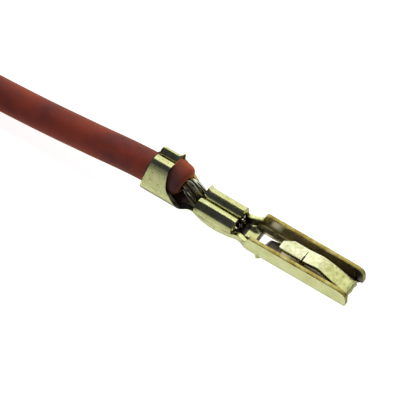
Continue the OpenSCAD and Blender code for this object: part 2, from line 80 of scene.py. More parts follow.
def mirrored(half):
    """Places across the middle, from those on one side."""
    return [-y for y in half[:0:-1]] + half


def new_object(name, mesh):
    ob = bpy.data.objects.new(name, mesh)
    scene.collection.objects.link(ob)
    return ob


def shade(mesh):
    mesh.shade_smooth()
    mesh.set_sharp_from_angle(angle=math.radians(SHARP_ANGLE))


# Materials

# Sockets of the Mix node when it mixes colours
MIX_FACTOR, MIX_A, MIX_B, MIX_RESULT = 0, 6, 7, 2


class Nodes:
    """A node tree, with short calls that add a node and return the output that is used."""

    def __init__(self, tree, coordinates):
        self.tree = tree
        self.coord = self.add("TexCoord").outputs[coordinates]

    def add(self, kind, linked=None, fixed=None, **settings):
        """A new node of a kind, with linked sockets and sockets that hold fixed values."""
        node = self.tree.nodes.new("ShaderNode" + kind)
        for name, value in settings.items():
            setattr(node, name, value)
        for socket, value in (fixed or {}).items():
            node.inputs[socket].default_value = value
        for socket, output in (linked or {}).items():
            self.tree.links.new(output, node.inputs[socket])
        return node

    def stretched(self, scale):
        return self.add("Mapping", {"Vector": self.coord}, {"Scale": scale}).outputs["Vector"]

    def drawn_out(self, pitch, length):
        """Coordinates stretched along a line that falls towards +X by a pitch in degrees."""
        fixed = {"Rotation": (0, math.radians(pitch), 0), "Scale": (length, 1, 1)}
        node = self.add("Mapping", {"Vector": self.coord}, fixed, vector_type="TEXTURE")
        return node.outputs["Vector"]

    def noise(self, scale, detail, rough, stretch=(1, 1, 1), vector=None):
        fixed = {"Scale": scale, "Detail": detail, "Roughness": rough}
        linked = {"Vector": vector or self.stretched(stretch)}
        return self.add("TexNoise", linked, fixed).outputs["Fac"]

    def ramp(self, fac, stops, interpolation="LINEAR"):
        """Colours over a factor, from stops of (position, colour)."""
        node = self.add("ValToRGB", {"Fac": fac})
        node.color_ramp.interpolation = interpolation
        elements = node.color_ramp.elements
        while len(elements) < len(stops):
            elements.new(0.5)
        for element, (position, colour) in zip(elements, stops):
            element.position = position
            element.color = (*colour, 1)
        return node.outputs["Color"]

    def spread(self, value, span, to=(0.0, 1.0)):
        """A span of the value, spread to another one."""
        fixed = {"From Min": span[0], "From Max": span[1], "To Min": to[0], "To Max": to[1]}
        return self.add("MapRange", {"Value": value}, fixed).outputs["Result"]

    def mix(self, fac, a, b):
        node = self.add("Mix", {MIX_FACTOR: fac, MIX_A: a, MIX_B: b}, data_type="RGBA")
        return node.outputs[MIX_RESULT]

    def towards(self, direction, low, high):
        """0 to 1 along a direction of the object, between two distances in mm."""
        node = self.add("VectorMath", {0: self.coord}, {1: direction}, operation="DOT_PRODUCT")
        return self.spread(node.outputs["Value"], (low * MM, high * MM))

    def bump(self, height, strength, depth, over=None):
        """Fine relief of a depth in mm, over a coarser one where it is given."""
        linked = {"Height": height}
        if over is not None:
            linked["Normal"] = over
        fixed = {"Strength": strength, "Distance": depth * MM}
        return self.add("Bump", linked, fixed).outputs["Normal"]


class Surface(Nodes):
    """The nodes of a material, which end in its Principled shader."""

    def __init__(self, name):
        self.material = bpy.data.materials.new(name)
        self.material.use_nodes = True
        super().__init__(self.material.node_tree, "Object")
        self.shader = self.tree.nodes["Principled BSDF"]

    def finished(self, colour, rough, relief=None, **constants):
        """The material: what varies is linked, and what is the same all over is set."""
        linked = {"Base Color": colour, "Roughness": rough}
        if relief is not None:
            linked["Normal"] = relief
        for socket, output in linked.items():
            self.tree.links.new(output, self.shader.inputs[socket])
        for name, value in constants.items():
            self.shader.inputs[name.replace("_", " ")].default_value = value
        return self.material


def plating():
    """Pale plating, blotched all over, and pitted and stained on the crimps."""
    m = Surface("pale_plating")
    blotch = m.noise(scale=1400, detail=6, rough=0.65)
    bright_tone = m.ramp(blotch, [
        (0.3, (0.68, 0.68, 0.27)),
        (0.5, (0.83, 0.86, 0.39)),
        (0.72, (0.92, 0.94, 0.54)),
    ])
    stained = m.ramp(blotch, [(0.3, (0.40, 0.38, 0.14)), (0.72, (0.66, 0.66, 0.28))])
    grain = m.noise(scale=9000, detail=4, rough=0.65)
    pitted = m.mix(m.spread(grain, (0.34, 0.48)), stained, bright_tone)
    colour = m.mix(m.towards((1, 0, 0), low=-1.6, high=1.0), pitted, bright_tone)
    rolled = m.noise(scale=2600, detail=6, rough=0.7, stretch=(0.06, 1, 1))
    rough = m.spread(rolled, (0.3, 0.7), to=(0.13, 0.28))
    relief = m.bump(grain, strength=0.12, depth=0.02, over=m.bump(rolled, strength=0.10, depth=0.02))
    return m.finished(colour, rough, relief, Metallic=1.0)


def cut_edge():
    """Bare golden metal where the sheet was cut."""
    m = Surface("bare_cut_edge")
    grain = m.noise(scale=1900, detail=5, rough=0.7, stretch=(1, 1, 0.3))
    colour = m.ramp(grain, [
        (0.34, (0.26, 0.16, 0.04)),
        (0.5, (0.52, 0.43, 0.11)),
        (0.66, (0.80, 0.74, 0.31)),
    ])
    rough = m.spread(grain, (0.3, 0.7), to=(0.2, 0.38))
    relief = m.bump(m.noise(scale=6000, detail=4, rough=0.6), strength=0.15, depth=0.02)
    return m.finished(colour, rough, relief, Metallic=1.0)


def inner_face(name, dark, middle, light):
    """Duller plating between three tones, for the inside of the folds, and in darker tones for painted
    shade.
    """
    m = Surface(name)
    blotch = m.noise(scale=1700, detail=5, rough=0.6)
    colour = m.ramp(blotch, [(0.3, dark), (0.5, middle), (0.72, light)])
    rough = m.spread(blotch, (0.3, 0.7), to=(0.26, 0.42))
    relief = m.bump(m.noise(scale=6500, detail=4, rough=0.6), strength=0.10, depth=0.02)
    return m.finished(colour, rough, relief, Metallic=1.0)


def spring_face():
    """Worn plating of the tongue, rubbed paler on its pad."""
    m = Surface("worn_spring_plating")
    speck = m.noise(scale=3000, detail=5, rough=0.65)
    pit = (0.30, (0.46, 0.42, 0.14))
    rubbed = m.ramp(speck, [pit, (0.37, (0.86, 0.87, 0.45)), (0.62, (0.97, 0.97, 0.66))])
    plain = m.ramp(speck, [pit, (0.40, (0.82, 0.84, 0.32)), (0.66, (0.96, 0.97, 0.46))])
    colour = m.mix(m.towards((1, 0, 0), low=3.8, high=4.6), rubbed, plain)
    rough = m.spread(speck, (0.35, 0.65), to=(0.34, 0.16))
    dents = m.bump(m.noise(scale=2300, detail=5, rough=0.6), strength=0.16, depth=0.05)
    relief = m.bump(speck, strength=0.12, depth=0.02, over=dents)
    return m.finished(colour, rough, relief, Metallic=1.0)


def insulation(name, with_painted_shade):
    """Red soft plastic; the variant with painted shade is darker on its near lower side, where the crimp's
    wings shade it, and lighter and more orange on its far upper side by painted light.
    """
    m = Surface(name)
    cloud = m.noise(scale=800, detail=3, rough=0.55, stretch=(0.7, 1, 1))
    if with_painted_shade:
        # Painted light: a brighter, more orange tone on the far upper side; painted shade: a dark, greyish
        # tone on the near lower side by the wings
        bright_tone = m.ramp(cloud, [(0.34, (0.56, 0.105, 0.050)), (0.7, (0.80, 0.145, 0.054))])
        shaded_side = m.ramp(cloud, [(0.34, (0.14, 0.076, 0.068)), (0.7, (0.25, 0.095, 0.078))])
        colour = m.mix(m.towards((0.5, 1, 0.3), low=-1.75, high=-0.6), shaded_side, bright_tone)
    else:
        colour = m.ramp(cloud, [
            (0.36, (0.28, 0.070, 0.064)),
            (0.46, (0.39, 0.083, 0.066)),
            (0.66, (0.54, 0.100, 0.060)),
        ])
    fine = m.noise(scale=3600, detail=4, rough=0.6)
    rough = m.spread(fine, (0.3, 0.7), to=(0.5, 0.68))
    drawn = m.bump(m.noise(scale=900, detail=4, rough=0.6, stretch=(0.15, 1, 1)), strength=0.10, depth=0.03)
    relief = m.bump(fine, strength=0.10, depth=0.01, over=drawn)
    return m.finished(
        colour, rough, relief, Specular_IOR_Level=0.16,
        Subsurface_Weight=0.4, Subsurface_Radius=(0.6 * MM, 0.16 * MM, 0.1 * MM), Subsurface_Scale=1.0,
        Sheen_Weight=1.0, Sheen_Roughness=0.42, Sheen_Tint=(1.0, 0.36, 0.08, 1),
    )


def tinned():
    """Tin with painted highlights: pale streaks along the strands where they slant down from the jacket, and
    painted shade, near black, between them.
    """
    m = Surface("tinned_strand_painted_glints")
    tone = m.noise(scale=5200, detail=2, rough=0.5, vector=m.drawn_out(pitch=37, length=14))
    # Painted highlight in the pale streaks, painted shade in the near-black tone between them
    colour = m.ramp(tone, [
        (0.47, (0.09, 0.08, 0.05)),
        (0.52, (0.55, 0.51, 0.36)),
        (0.56, (1.0, 0.97, 0.78)),
    ])
    rough = m.spread(tone, (0.4, 0.6), to=(0.16, 0.07))
    drawn = m.noise(scale=4200, detail=3, rough=0.6, stretch=(0.2, 1, 1))
    return m.finished(colour, rough, m.bump(drawn, strength=0.15, depth=0.01), Metallic=1.0)


def dark_tie():
    m = Surface("tie_plastic")
    tone = m.noise(scale=700, detail=4, rough=0.6)
    colour = m.ramp(tone, [(0.3, (0.010, 0.010, 0.011)), (0.7, (0.022, 0.022, 0.024))])
    rough = m.spread(tone, (0.3, 0.7), to=(0.35, 0.55))
    relief = m.bump(m.noise(scale=2500, detail=3, rough=0.5), strength=0.15, depth=0.03)
    return m.finished(colour, rough, relief)


def pale_floor():
    m = Surface("pale_floor")
    tone = m.noise(scale=30, detail=3, rough=0.5)
    colour = m.ramp(tone, [(0.3, (0.90, 0.90, 0.895)), (0.7, (0.915, 0.915, 0.91))])
    rough = m.spread(tone, (0.3, 0.7), to=(0.75, 0.85))
    return m.finished(colour, rough, Emission_Color=(1, 1, 1, 1), Emission_Strength=0.9)


# Finishes of the terminal's faces, named in the order of its material slots
PLATED, BARE, DULL, WORN, PAINTED_SHADE, GREY_SHADE = range(6)
FINISHES = [
    plating(),
    cut_edge(),
    inner_face("dull_inner_plating", (0.56, 0.50, 0.29), (0.72, 0.66, 0.40), (0.84, 0.81, 0.52)),
    spring_face(),
    # Nearly black plating: painted shade for hollows, the crease, the lance under the tongue and shaded rims
    inner_face("painted_shade_plating", (0.10, 0.08, 0.07), (0.16, 0.14, 0.11), (0.26, 0.24, 0.17)),
    # Greyer, darker plating: painted shade on the far wall's inside
    inner_face("grey_painted_shade_plating", (0.42, 0.37, 0.34), (0.56, 0.50, 0.46), (0.68, 0.63, 0.56)),
]
CLEAN_RED = insulation("red_insulation", with_painted_shade=False)
# The jacket's plastic, with painted shade on its near lower side and painted light on its far upper side
SHADED_RED = insulation("insulation_painted_shade", with_painted_shade=True)
TIN = tinned()
TIE_PLASTIC = dark_tie()


# Terminal: one folded sheet, drawn by its outside and thickened inwards

BEND_R = 0.28
# Sizes of the half section along the terminal, as points (x, size): flat half of the floor, radius of the
# bend beside it, height of the rim and level of the floor
HALF_FLOOR = [
    (-3.65, 0.03), (-3.35, 0.17), (-3.05, 0.29), (-2.80, 0.41), (-2.50, 0.489), (-2.20, 0.545),
    (-1.90, 0.578), (-1.60, 0.59), (-1.30, 0.579), (-1.00, 0.546), (-0.70, 0.49), (-0.40, 0.43),
    (-0.10, 0.48), (0.06, 0.56), (0.18, 0.60), (0.30, 0.62),
]
BEND = [(-3.65, BARREL_R), (-3.35, 0.48), (-3.05, 0.32), (-2.80, BEND_R)]
RIM = [
    (-3.65, BARREL_RIM), (-3.35, 0.32), (-3.05, 0.34), (-2.80, 0.43), (-1.00, 0.43), (-0.70, 0.50),
    (-0.40, 0.60), (-0.10, 0.64), (0.06, RIM_H),
]
LEVEL = [(-3.65, -WING_DROP), (-3.35, -0.08), (-3.05, -0.02), (-2.80, 0)]
# Places across half the box floor; the edges of lance, tongue, window and slot are among them
FLOOR_Y = [0, 0.09, 0.18, 0.27, 0.36, 0.43, 0.5, 0.56, 0.62]
LANCE_HALF, TONGUE_HALF, WINDOW_HALF, SLOT_HALF, PAD_HALF = 0.36, 0.43, 0.43, 0.5, 0.37
WINDOW_REAR, WINDOW_FRONT, SLOT_X = 0.5, 1.85, 5.35
BEND_STEPS, LOW_STEPS, WALL_STEPS, LEAST_WALL = 8, 4, 8, 0.03
# The box walls start to rise here, and their rear edge leans and curls forward on the way up
RISE_X, REAR_LEAN, REAR_CURL = 0.19, 0.2, 0.06
# Rows behind the first place follow the walls' rear edge, and rows ahead of the second their round front
REAR_MAP_X, FRONT_MAP_X = 1.2, 4.5
# Stop pressed out of the foot of each wall; the floor, nearer the middle than STOP_Y, stays flat
STOP_X, STOP_Z, STOP_R, STOP_OUT, STOP_Y = 0.97, 0.14, 0.22, 0.16, 0.55
# Bead across the neck's floor, higher on its far side; slopes are (start, run)
BEAD_H, BEAD_RISE, BEAD_FALL, BEAD_SIDES = 0.1, (-0.52, 0.36), (-0.1, 0.55), (0.36, 0.18)
BEAD_SKEW, BEAD_SKEW_SLOPE = 0.6, (0.06, 0.3)
# Rounding of the cradle's rear corners, from a place backwards and from the middle outwards
REAR_ROUND, REAR_ROUND_X, REAR_ROUND_RUN, REAR_ROUND_SIDES = 0.2, -5.1, 0.8, (0.36, 0.45)
STUB_HALF = 0.36
WELD = 0.0002


class Sheet:
    """Faces of the strip's outside, welded where patches share points."""

    def __init__(self):
        self.verts = []
        self.faces = []

    def patch(self, grid, keep=None, flip=False):
        rows, cols = len(grid), len(grid[0])
        base = len(self.verts)
        self.verts += [p for row in grid for p in row]
        for i in range(rows - 1):
            for j in range(cols - 1):
                if keep and not keep(i, j):
                    continue
                a, b = base + i * cols + j, base + (i + 1) * cols + j
                quad = (a, a + 1, b + 1, b)
                self.faces.append(quad[::-1] if flip else quad)

    def mesh(self, name):
        me = bpy.data.meshes.new(name)
        me.from_pydata([(x * MM, y * MM, (z + Z_FLOOR) * MM) for x, y, z in self.verts], [], self.faces)
        bm = bmesh.new()
        bm.from_mesh(me)
        bmesh.ops.remove_doubles(bm, verts=bm.verts, dist=WELD * MM)
        bmesh.ops.delete(bm, geom=[v for v in bm.verts if not v.link_faces], context="VERTS")
        bm.to_mesh(me)
        bm.free()
        return me


def half_section(x):
    """Points (y, z) from the middle of the floor, round the bend and up the low wall."""
    half, bend, height, level = (smooth(x, points) for points in (HALF_FLOOR, BEND, RIM, LEVEL))
    sweep = math.acos(1 - height / bend) if height < bend else math.pi / 2
    pts = [(y / FLOOR_Y[-1] * half, level) for y in FLOOR_Y]
    for k in range(1, BEND_STEPS + 1):
        a = sweep * k / BEND_STEPS
        pts.append((half + bend * math.sin(a), level + bend - bend * math.cos(a)))
    up = max(height - bend, LEAST_WALL)
    y, z = pts[-1]
    for k in range(1, LOW_STEPS + 1):
        pts.append((y + math.cos(sweep) * up * k / LOW_STEPS, z + math.sin(sweep) * up * k / LOW_STEPS))
    return pts


def front_end(z):
    """Front edge of the box walls, with a round corner below and above."""
    into_corner = max(CORNER_R - z, z - BOX_H + CORNER_R, 0)
    return X_FRONT - CORNER_R + math.sqrt(max(CORNER_R ** 2 - into_corner ** 2, 0))


def rear_start(z):
    """Rear edge of the box walls above the rim."""
    u = min(max((z - RIM_H) / (BOX_H - RIM_H), 0), 1)
    return RISE_X + REAR_LEAN * u + REAR_CURL * u ** 6


def mapped(x, z):
    """Where a row of the box lies at a height, so that the rows follow both ends of the walls."""
    if x > FRONT_MAP_X:
        share = (x - FRONT_MAP_X) / (X_FRONT - FRONT_MAP_X)
        return FRONT_MAP_X + share * (front_end(z) - FRONT_MAP_X)
    if z > RIM_H and x < REAR_MAP_X:
        return REAR_MAP_X - (REAR_MAP_X - x) * (REAR_MAP_X - rear_start(z)) / (REAR_MAP_X - RISE_X)
    return x


def rear_corner(x, y):
    """How far forward the cradle's rounded rear corner moves a point."""
    return REAR_ROUND * ease(abs(y), *REAR_ROUND_SIDES) * max((REAR_ROUND_X - x) / REAR_ROUND_RUN, 0)


def neck_bead(x, y):
    """Wire stop pressed up across the neck's floor: steep towards the strands, falling slowly to the box."""
    along = ease(x, *BEAD_RISE) * (1 - ease(x, *BEAD_FALL))
    skew = BEAD_SKEW * ease(y, *BEAD_SKEW_SLOPE)
    return BEAD_H * along * (1 + skew) * (1 - ease(abs(y), *BEAD_SIDES))


def stop_bump(x, z):
    """How far the stop stands out of its wall."""
    d = math.hypot(x - STOP_X, z - STOP_Z) / STOP_R
    return STOP_OUT * 0.5 * (1 + math.cos(math.pi * d)) if d < 1 else 0.0


# Rows of the sheet along X; the front's mapping brings slot_row to the slot's end on the floor
slot_row = (FRONT_MAP_X + (SLOT_X - FRONT_MAP_X) * (X_FRONT - FRONT_MAP_X)
            / (X_FRONT - CORNER_R - FRONT_MAP_X))
rows = places(
    X_REAR, (X_CRADLE, 24), (X_CRIMP, 17), (X_NECK, 43), (RISE_X, 13), (WINDOW_REAR, 11), (WINDOW_FRONT, 29),
    (FRONT_MAP_X, 25), (slot_row, 13), (X_FRONT, 13),
)
mid_column = len(half_section(0)) - 1
centre = []
for x in rows:
    half = half_section(x)
    line = []
    for y, z in [(-y, z) for y, z in half[:0:-1]] + half:
        xm = mapped(x, z) + rear_corner(x, y)
        out = stop_bump(xm, z) * math.copysign(1, y) if abs(y) > STOP_Y else 0
        line.append((xm, y + out, z + neck_bead(xm, y)))
    centre.append(line)


def centre_keep(i, j):
    """Whether a face of the floor stays: the window and the tongue's slot are open."""
    inner = min(abs(j - mid_column), abs(j + 1 - mid_column))
    in_window = rows[i] >= WINDOW_REAR - TINY and rows[i + 1] <= WINDOW_FRONT + TINY
    if in_window and inner < FLOOR_Y.index(WINDOW_HALF):
        return False
    return not (rows[i] >= slot_row - TINY and inner < FLOOR_Y.index(SLOT_HALF))


def side_grid(columns, s):
    """Columns run from the rim upwards; the patch keeps the centre's winding on both sides."""
    cols = columns if s > 0 else columns[::-1]
    return [list(r) for r in zip(*cols)]


def rim(s, first, last):
    """Points of the centre's edge on side s between two places, and their rows."""
    index = 2 * mid_column if s > 0 else 0
    picked = [k for k, x in enumerate(rows) if first - TINY <= x <= last + TINY]
    return [centre[k][index] for k in picked], [rows[k] for k in picked]


sheet = Sheet()
sheet.patch(centre, centre_keep)

# Box walls
for s in (-1, 1):
    edge, xs = rim(s, RISE_X, X_FRONT)
    columns = [edge]
    for k in range(1, WALL_STEPS + 1):
        z = RIM_H + (BOX_H - RIM_H) * k / WALL_STEPS
        column = []
        for x in xs:
            xm = mapped(x, z)
            y = smooth(xm, HALF_FLOOR) + smooth(xm, BEND)
            column.append((xm, s * (y + stop_bump(xm, z)), z))
        columns.append(column)
    sheet.patch(side_grid(columns, s))

# Conductor crimp: flank, shoulder, sloping crown and a ridge rolled down to the seam, with bell mouths
CRIMP_H, FLANK_STEPS = 1.15, 6
# Arcs are (radius, end angle in degrees, steps), from the side upwards
SHOULDER = (BEND_R, 62, 8)
# The mouths open outwards and upwards, and the crown falls towards the front from its height at CROWN_X
BELL_REAR, BELL_FRONT, BELL_RUN, BELL_WAY = 0.09, 0.04, 0.3, np.array([0.7, 0.5])
CROWN_X, CROWN_FALL = -1.7, 0.03


def polar(r, deg):
    return np.array([r * math.cos(math.radians(deg)), r * math.sin(math.radians(deg))])


def rolled_wing(half, arcs):
    """A wing's outside from the flank to the seam, by half width and arcs, and its shoulder's centre."""
    c, last, angle = np.zeros(2), BEND_R, 0
    pts = [polar(BEND_R, 0)]
    for r, end, n in [SHOULDER] + arcs:
        c = c + polar(last - r, angle)
        pts += [c + polar(r, w) for w in np.linspace(angle, end, n + 1)[1:]]
        last, angle = r, end
    top = max(q[1] for q in pts)
    return pts, np.array([half - BEND_R, CRIMP_H - top])


def upright_curve(start, end, u):
    """Curve between two points (y, z) that leaves the first and reaches the second straight upwards."""
    lift = np.array([0, end[1] - start[1]])
    return (start * (2 * u ** 3 - 3 * u ** 2 + 1) + lift * (u ** 3 - 2 * u ** 2 + u)
            + end * (3 * u ** 2 - 2 * u ** 3) + lift * (u ** 3 - u ** 2))


# Near and far wing, by the sign of Y
WINGS = {
    -1: rolled_wing(0.87, [(1.2, 76, 5), (0.372, 160, 12)]),
    1: rolled_wing(0.75, [(1.2, 66, 2), (0.28, 94, 4), (0.8, 118, 7), (0.1, 165, 2)]),
}
for s, (roll, shoulder) in WINGS.items():
    edge, xs = rim(s, X_CRIMP, X_NECK)
    columns = [edge]
    for k in range(1, FLANK_STEPS + len(roll)):
        column = []
        for (_, ey, ez), x in zip(edge, xs):
            rear_bell = BELL_REAR * max(1 - (x - X_CRIMP) / BELL_RUN, 0) ** 2
            bell = rear_bell + BELL_FRONT * max(1 - (X_NECK - x) / BELL_RUN, 0) ** 2
            at = shoulder + bell * BELL_WAY + np.array([0, -CROWN_FALL * (x - CROWN_X)])
            if k < FLANK_STEPS:
                y, z = upright_curve(np.array([abs(ey), ez]), at + roll[0], k / FLANK_STEPS)
            else:
                y, z = at + roll[k - FLANK_STEPS]
            column.append((x, s * y, z))
        columns.append(column)
    sheet.patch(side_grid(columns, s))

# Insulation crimp: the near wing's tip is curled in, the far one's is folded over flat beside the seam

# Front and rear edges of the wings, as points (height, x)
FRONT_EDGE = [
    (0.24, -3.62), (0.67, -3.78), (1.16, -4.12), (1.27, -4.33), (1.51, -4.5), (1.76, -4.6), (1.94, -4.66),
    (2.4, -4.68),
]
REAR_EDGE = [(0.24, -5.7), (0.45, -5.82), (0.7, -5.84), (1.2, -5.74), (1.8, -5.68), (2.1, -5.67)]
EDGE_BLUR = 0.08
# Arcs as above, with the outside normal's angle from straight down; the wings start a gap past the rim
NEAR_ARCS = [(BARREL_R, 85, 8), (0.75, 128, 8), (3.0, 144, 6), (0.52, 205, 12), (0.3, 265, 6)]
WING_GAP, FAR_GAP = 1, 3
FAR_R, FAR_WIDENS, FAR_STEPS = 1.24, 55, 20
FOLD_START, FOLD_END, FOLD_R, FOLD_STEPS = 128, 204, 0.11, 5
FLAT, FLAT_STEPS, TIP_ARC = 0.28, 4, (0.12, 285, 5)
# The far wing's front is tucked back between two slopes (start, run), and on top both edges reach back
TUCK, TUCK_RISE, TUCK_FALL = 0.5, (0.3, 0.5), (1.25, 0.4)
FRONT_BACK, FRONT_BACK_SLOPE, REAR_BACK, REAR_BACK_SLOPE = 0.06, (1.2, 0.4), 0.12, (1.0, 0.5)
# Its front edge is flared out and its rear edge rounded off, both on top only
FLARE, FLARE_RUN, FLARE_SLOPE = 0.16, 0.3, (1.2, 0.5)
ROUND_OFF, ROUND_OFF_RUN, ROUND_OFF_SLOPE = 0.10, 0.15, (1.3, 0.3)


def down_polar(r, deg):
    """The angle is the outside normal's, from straight down towards the side."""
    return np.array([r * math.sin(math.radians(deg)), -r * math.cos(math.radians(deg))])


def arcs_from(point, angle, arcs):
    """Points after the first, along arcs that follow each other without a kink."""
    pts = [np.array(point)]
    for r, end, n in arcs:
        c = pts[-1] - down_polar(r, angle)
        pts += [c + down_polar(r, w) for w in np.linspace(angle, end, n + 1)[1:]]
        angle = end
    return pts[1:]


def far_edges(front, rear, z, top, folded):
    """The far wing's front and rear edge at a point of its section."""
    tucked = ease(z, *TUCK_RISE) * (1 - ease(z, *TUCK_FALL)) * (1 - folded)
    front -= TUCK * tucked + FRONT_BACK * ease(top, *FRONT_BACK_SLOPE)
    return front, rear - REAR_BACK * ease(top, *REAR_BACK_SLOPE)


def far_swell(x, front, rear, top):
    """How far a point of the far wing stands out from its section."""
    flare = FLARE * ease(x, front - FLARE_RUN, FLARE_RUN) ** 2 * ease(top, *FLARE_SLOPE)
    near_rear = max(1 - (x - rear) / ROUND_OFF_RUN, 0)
    return flare - ROUND_OFF * (1 - math.sqrt(1 - near_rear ** 2)) * ease(top, *ROUND_OFF_SLOPE)


axis = np.array([0, Z_WIRE])
wing_start = math.degrees(math.acos(1 - BARREL_RIM / BARREL_R)) + WING_GAP
near_path = arcs_from(axis + down_polar(BARREL_R, wing_start), wing_start, NEAR_ARCS)
far_path = []
for a in np.linspace(wing_start + FAR_GAP, FOLD_START, FAR_STEPS):
    far_path.append(axis + down_polar(BARREL_R + (FAR_R - BARREL_R) * ease(a, wing_start, FAR_WIDENS), a))
fold = arcs_from(far_path[-1], FOLD_START, [(FOLD_R, FOLD_END, FOLD_STEPS)])
fold += [fold[-1] + polar(1, FOLD_END) * FLAT * k / FLAT_STEPS for k in range(1, FLAT_STEPS + 1)]
fold += arcs_from(fold[-1], FOLD_END, [TIP_ARC])
for s, path in ((-1, near_path), (1, far_path + fold)):
    edge, xs = rim(s, X_REAR, X_CRADLE)
    columns = [edge]
    top = 0
    for i, (y, z) in enumerate(path):
        top = max(top, z)
        front, rear = smooth(top, FRONT_EDGE, EDGE_BLUR), smooth(top, REAR_EDGE, EDGE_BLUR)
        if s > 0:
            front, rear = far_edges(front, rear, z, top, ease(i + 1, len(far_path), FOLD_STEPS))
        column = []
        for k in range(len(xs)):
            x = rear + (front - rear) * k / (len(xs) - 1)
            out = far_swell(x, front, rear, top) if s > 0 else 0
            grow = 1 + out / math.hypot(y, z - Z_WIRE)
            column.append((x, s * y * grow, Z_WIRE + (z - Z_WIRE) * grow))
        columns.append(column)
    sheet.patch(side_grid(columns, s))

# Stub of the carrier strip behind the insulation crimp
stub = [p for p in centre[0] if abs(p[1]) <= STUB_HALF]
sheet.patch([[(x, y, z) for _, y, z in stub] for x in (X_TAIL, (X_TAIL + X_REAR) / 2, X_REAR)])

# Spring tongue: round the fold, up to the crest, over the crease and along the level pad
CREST_AT, CREST_DROP, CREST_R = 3.6, 0.03, 0.9
CREASE_AT, CREASE_HALF, CREASE_SLOPE, TIP_AT, TIP_DROP = 2.8, 0.05, 0.18, 1.46, 0.13
BOW, BOW_R = (5.6, 0.3), 0.3
CREST = (X_BOX + CREST_AT, BOX_H - CREST_DROP - CREST_R)
CREASE = (X_BOX + CREASE_AT, BOX_H - TIP_DROP)
TIP_X = X_BOX + TIP_AT
ROOT_POINTS, BOW_STEPS, CLIMB_STEPS, CREST_STEPS, DESCENT_STEPS, PAD_STEPS = 5, 19, 13, 11, 11, 23
# The tongue narrows to its pad over this slope, above this height
NARROWING, NARROW_Z = (4.0, 1.4), 0.3
# Corners cut off the tip: length, distance of the cut from the middle, and width
FAR_CUT, NEAR_CUT = (0.48, 0.09, 0.28), (0.05, 0.31, 0.06)
# The crease is dented on its near side, and the bow a little rippled
DENT, DENT_EDGE, DENT_RUN = 0.07, 0.16, 0.1
RIPPLE, RIPPLES = 0.02, 15


def arc(middle, r, start, end, steps):
    turns = np.linspace(start, end, steps + 1)[1:]
    return [(middle[0] + r * math.cos(a), middle[1] + r * math.sin(a)) for a in turns]


def straight(start, end, steps):
    dx, dz = end[0] - start[0], end[1] - start[1]
    return [(start[0] + dx * u, start[1] + dz * u) for u in np.linspace(0, 1, steps + 1)[1:]]


def tongue_line():
    """Points (x, z) of the tongue's outside from the floor to its tip, and the row of its crease."""
    leave = math.acos((CREST_R - BOW_R) / (BOW[0] - CREST[0]))
    dx, dz = CREASE[0] - CREST[0], CREASE[1] - CREST[1]
    arrive = math.atan2(dz, dx) - math.acos(CREST_R / math.hypot(dx, dz))
    on_crest = (CREST[0] + CREST_R * math.cos(leave), CREST[1] + CREST_R * math.sin(leave))
    line = [(x, 0.0) for x in np.linspace(SLOT_X, BOW[0], ROOT_POINTS)]
    line += arc(BOW, BOW_R, -math.pi / 2, leave, BOW_STEPS)
    line += straight(line[-1], on_crest, CLIMB_STEPS)
    line += arc(CREST, CREST_R, leave, arrive, CREST_STEPS)
    line += straight(line[-1], CREASE, DESCENT_STEPS)
    near, far = CREASE_HALF / 2, CREASE_HALF
    line[-1:] = [(CREASE[0] + d, CREASE[1] + CREASE_SLOPE * d) for d in (far, near)] + [CREASE]
    crease_row = len(line) - 1
    line += [(CREASE[0] - d, CREASE[1]) for d in (near, far)]
    line += [(x, CREASE[1]) for x in np.linspace(CREASE[0] - far, TIP_X, PAD_STEPS + 1)[1:]]
    return line, crease_row


def tongue_width(x, z):
    """Share of the tongue's full width."""
    if z <= NARROW_Z:
        return 1
    return PAD_HALF / TONGUE_HALF + (1 - PAD_HALF / TONGUE_HALF) * ease(x, *NARROWING)


def tip_cut(y):
    """How far the cut corners shorten the tip."""
    return sum(length * max(side - start, 0) / width
               for side, (length, start, width) in ((y, FAR_CUT), (-y, NEAR_CUT)))


tongue = []
line, crease_row = tongue_line()
for k, (x, z) in enumerate(line):
    row = []
    for y in mirrored([y * tongue_width(x, z) for y in FLOOR_Y if y <= TONGUE_HALF]):
        xx, zz = x, z
        if k > crease_row:
            xx = CREASE[0] + (x - CREASE[0]) * (TIP_X + tip_cut(y) - CREASE[0]) / (TIP_X - CREASE[0])
        if k == crease_row:
            zz -= DENT * ease(DENT_EDGE - y, 0, DENT_RUN)
        if ROOT_POINTS <= k <= ROOT_POINTS + BOW_STEPS:
            xx += RIPPLE * math.cos(y * RIPPLES) * math.sin(math.pi * (k - ROOT_POINTS) / BOW_STEPS)
        row.append((xx, y, zz))
    tongue.append(row)
sheet.patch(tongue)

# Locking lance: bent down out of the floor, its free edge just above the resting surface

# Runs of (turn in degrees, length, steps), the last of them down to the lance's depth
LANCE_RUNS = [(17, 0.3, 4), (0, 0.42, 5), (48, 0.16, 5), (0, None, 6)]
LANCE_DEPTH = 0.735
lance = [(WINDOW_FRONT, 0.0)]
slope = 0.0
for turn, run, steps in LANCE_RUNS:
    x, z = lance[-1]
    length = run or (LANCE_DEPTH + z) / math.sin(slope)
    for k in range(1, steps + 1):
        a = slope + math.radians(turn) * k / steps
        x, z = x - math.cos(a) * length / steps, z - math.sin(a) * length / steps
        lance.append((x, z))
    slope += math.radians(turn)
lance_y = mirrored([y for y in FLOOR_Y if y <= LANCE_HALF])
sheet.patch([[(x, y, z) for y in lance_y] for x, z in lance], flip=True)

